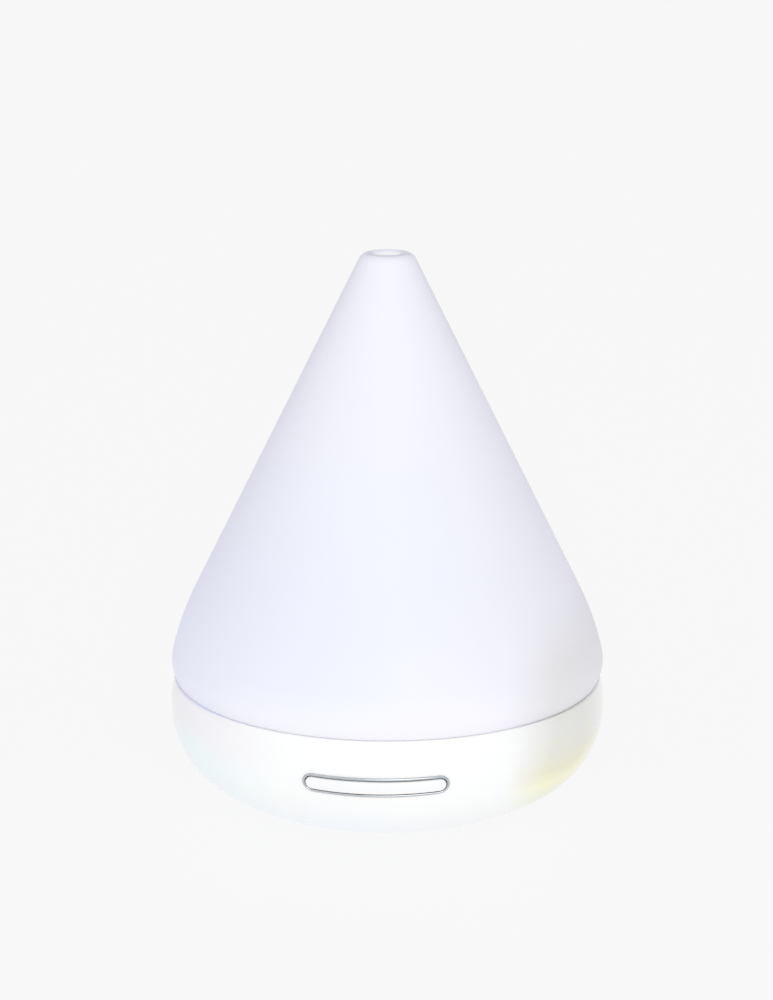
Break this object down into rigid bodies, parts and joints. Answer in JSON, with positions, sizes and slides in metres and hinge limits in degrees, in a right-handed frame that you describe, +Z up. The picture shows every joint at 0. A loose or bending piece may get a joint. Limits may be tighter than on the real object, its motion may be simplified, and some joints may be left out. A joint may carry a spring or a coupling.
{
  "type": "essential oil diffuser",
  "caption": "Ultrasonic essential oil diffuser: frosted, lamp-lit cone cover over a low glossy bowl with water tank, blower, transducer and a long rocking key.",
  "frame": {"origin": "on the table under the middle of the bowl, in the plane of the feet's undersides", "axes": "+Z up along the cone's axis; the key faces -Y and the power inlet faces +Y"},
  "size_m": [0.168, 0.169, 0.2175],
  "materials": {
    "frosted_cover": "frosted, translucent, lit from inside",
    "milky_clear": "milky translucent, smooth",
    "gloss_white": "high gloss white",
    "chrome_trim": "bright plated",
    "satin_white": "satin white",
    "silicone": "matt translucent silicone",
    "rubber_foot": "soft pale rubber",
    "steel": "bright steel",
    "transducer_disc": "silvered ceramic face",
    "circuit_board": "solder mask",
    "black_plastic": "moulded, slightly glossy",
    "fan_plastic": "moulded",
    "led_lens": "clear yellow-white lens",
    "copper_winding": "enamelled copper",
    "capacitor_sleeve": "shrink sleeve",
    "lead_white": "soft insulation",
    "lead_red": "soft insulation",
    "lead_black": "soft insulation"
  },
  "bodies": {
    "root": {"tank": "milky_clear", "air_hood": "milky_clear", "air_duct": "milky_clear", "base_shell": "gloss_white", "bottom_cover": "gloss_white", "bezel": "chrome_trim", "key_bracket": "satin_white", "tank_seal": "silicone", "piezo_seal": "silicone", "probe_grommet": "silicone", "foot_1": "rubber_foot", "foot_2": "rubber_foot", "foot_3": "rubber_foot", "foot_4": "rubber_foot", "key_pin": "steel", "level_probe": "steel", "piezo_ring": "steel", "heatsink": "steel", "bottom_screw_1": "steel", "bottom_screw_2": "steel", "bottom_screw_3": "steel", "bottom_screw_4": "steel", "button_screw_left": "steel", "button_screw_right": "steel", "piezo_screw_1": "steel", "piezo_screw_2": "steel", "piezo_screw_3": "steel", "main_board_screw_1": "steel", "main_board_screw_2": "steel", "fan_screw_1": "steel", "fan_screw_2": "steel", "piezo_disc": "transducer_disc", "button_board": "circuit_board", "led_board": "circuit_board", "main_board": "circuit_board", "switch_left": "black_plastic", "switch_right": "black_plastic", "transistor": "black_plastic", "controller_chip": "black_plastic", "dc_jack": "black_plastic", "fan_frame": "black_plastic", "led_1": "led_lens", "led_2": "led_lens", "led_3": "led_lens", "led_4": "led_lens", "led_5": "led_lens", "led_6": "led_lens", "inductor": "copper_winding", "capacitor": "capacitor_sleeve", "wire_led": "lead_white", "wire_keys": "lead_white", "wire_piezo": "lead_red", "wire_fan": "lead_black", "wire_jack": "lead_black"},
    "cover": {"outer_cover": "frosted_cover", "mist_guide": "milky_clear"},
    "key": {"key": "satin_white"},
    "fan_rotor": {"fan_rotor": "fan_plastic"},
    "plunger_left": {"plunger_left": "satin_white"},
    "plunger_right": {"plunger_right": "satin_white"}
  },
  "joints": [
    {"name": "cover_lift", "type": "slide", "parent": "root", "child": "cover", "axis": [0, 0, 1], "range_m": [0, 0.17]},
    {"name": "key_rock", "type": "hinge", "parent": "root", "child": "key", "pos_m": [0, -0.0774, 0.036], "axis": [0, 0, 1], "range_deg": [-1.2, 1.2], "stiffness_Nm_per_rad": 1.6},
    {"name": "plunger_left_press", "type": "slide", "parent": "root", "child": "plunger_left", "axis": [0, 1, 0], "range_m": [0, 0.00025], "stiffness_N_per_m": 2000},
    {"name": "plunger_right_press", "type": "slide", "parent": "root", "child": "plunger_right", "axis": [0, 1, 0], "range_m": [0, 0.00025], "stiffness_N_per_m": 2000},
    {"name": "fan_spin", "type": "hinge", "parent": "root", "child": "fan_rotor", "pos_m": [0, 0.031, 0.0137], "axis": [0, 0, 1], "continuous": true}
  ]
}
